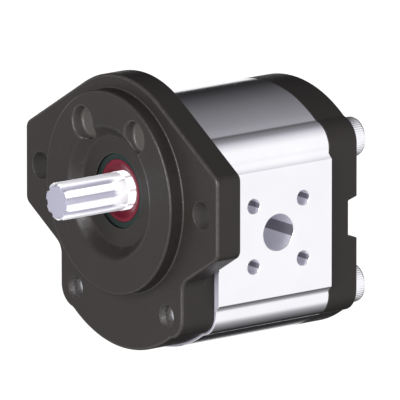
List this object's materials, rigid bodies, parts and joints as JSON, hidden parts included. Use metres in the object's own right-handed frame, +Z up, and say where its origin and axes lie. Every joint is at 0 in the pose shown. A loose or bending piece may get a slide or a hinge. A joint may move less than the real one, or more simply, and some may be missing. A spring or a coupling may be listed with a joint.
{
  "type": "hydraulic gear pump",
  "caption": "Hydraulic external gear pump with a two-bolt pilot flange, splined drive shaft, aluminium body with side ports, and black cast covers.",
  "frame": {"origin": "on the drive shaft's axis, in the plane of the flange's mounting face", "axes": "-Y along the drive shaft out of its splined end, +Z up from the driven gear to the drive gear, +X towards the pressure port"},
  "size_m": [0.127, 0.126, 0.1126],
  "materials": {
    "cast_black": "fine cast texture under satin black paint",
    "aluminium": "bright extruded and milled",
    "shaft_steel": "bright ground",
    "block_aluminium": "machined",
    "bush_bronze": "satin",
    "black_rubber": "matte",
    "backup_plastic": "matte",
    "seal_rubber": "satin",
    "seal_red": "satin",
    "spring_steel": "bright",
    "bolt_steel": "bright zinc plated"
  },
  "bodies": {
    "housing": {"front_cover": "cast_black", "pump_body": "aluminium", "rear_cover": "cast_black", "front_bearing_block": "block_aluminium", "rear_bearing_block": "block_aluminium", "drive_bush_front": "bush_bronze", "drive_bush_rear": "bush_bronze", "driven_bush_front": "bush_bronze", "driven_bush_rear": "bush_bronze", "front_body_seal": "black_rubber", "rear_body_seal": "black_rubber", "front_pressure_seal": "black_rubber", "rear_pressure_seal": "black_rubber", "front_backup_seal": "backup_plastic", "rear_backup_seal": "backup_plastic", "shaft_seal_shell": "seal_rubber", "shaft_seal_lip": "seal_red", "garter_spring": "spring_steel", "dowel_pins": "spring_steel", "clamp_bolts": "bolt_steel"},
    "drive_shaft": {"drive_gear_shaft": "shaft_steel"},
    "driven_shaft": {"driven_gear_shaft": "shaft_steel"}
  },
  "joints": [
    {"name": "drive_shaft_spin", "type": "hinge", "parent": "housing", "child": "drive_shaft", "pos_m": [0, 0, 0], "axis": [0, 1, 0], "continuous": true},
    {"name": "driven_gear_spin", "type": "hinge", "parent": "housing", "child": "driven_shaft", "pos_m": [0, 0.04455, -0.031], "axis": [0, 1, 0], "continuous": true}
  ],
  "couplings": [
    {"joint": "driven_gear_spin", "follows": "drive_shaft_spin", "ratio": -1}
  ]
}
